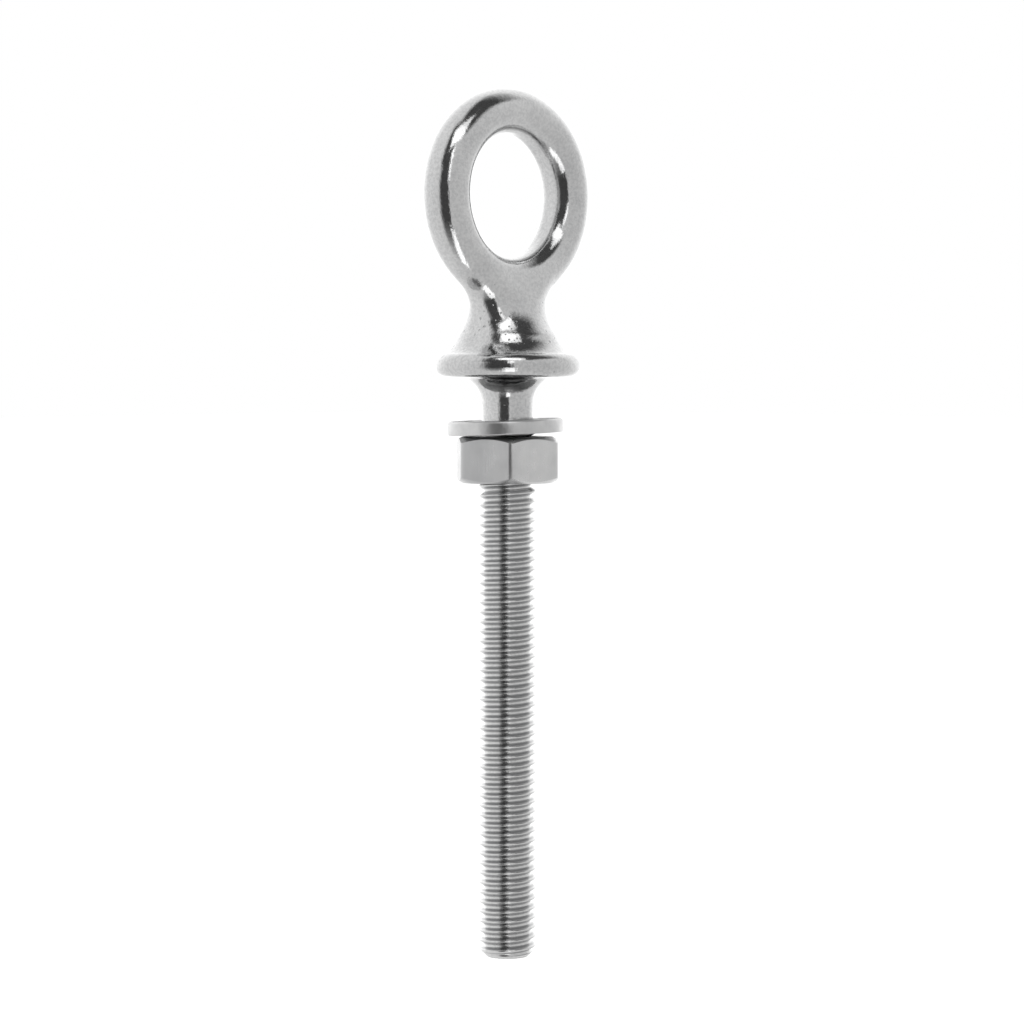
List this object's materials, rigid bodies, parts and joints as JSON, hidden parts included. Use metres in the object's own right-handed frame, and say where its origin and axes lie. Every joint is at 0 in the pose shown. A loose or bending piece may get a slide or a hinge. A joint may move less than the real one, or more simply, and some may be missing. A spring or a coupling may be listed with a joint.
{
  "type": "eye bolt",
  "caption": "Collared lifting eye bolt with a long M6 threaded shank, a flat washer and a hexagon nut that runs on the thread.",
  "frame": {"origin": "centre of the collar's flat underside, on the shank's axis", "axes": "+Z along the shank's axis up through the eye, -Z down the shank, the eye's hole along Y"},
  "size_m": [0.022, 0.0152, 0.0895],
  "materials": {
    "polished_stainless": "polished casting, faint orange peel, rolled thread",
    "washer_stainless": "tumbled satin",
    "nut_stainless": "satin, cold formed"
  },
  "bodies": {
    "eye_bolt": {"eye_bolt": "polished_stainless"},
    "washer": {"washer": "washer_stainless"},
    "nut": {"hex_nut": "nut_stainless"}
  },
  "joints": [
    {"name": "washer_slide", "type": "slide", "parent": "eye_bolt", "child": "washer", "axis": [0, 0, 1], "range_m": [-0.056, 0.001]},
    {"name": "nut_turn", "type": "hinge", "parent": "washer", "child": "nut", "pos_m": [0, 0, -0.0085], "axis": [0, 0, 1], "range_deg": [-20170, 370]}
  ],
  "couplings": [
    {"joint": "nut_turn", "follows": "washer_slide", "rad_per_m": 6283.2}
  ]
}
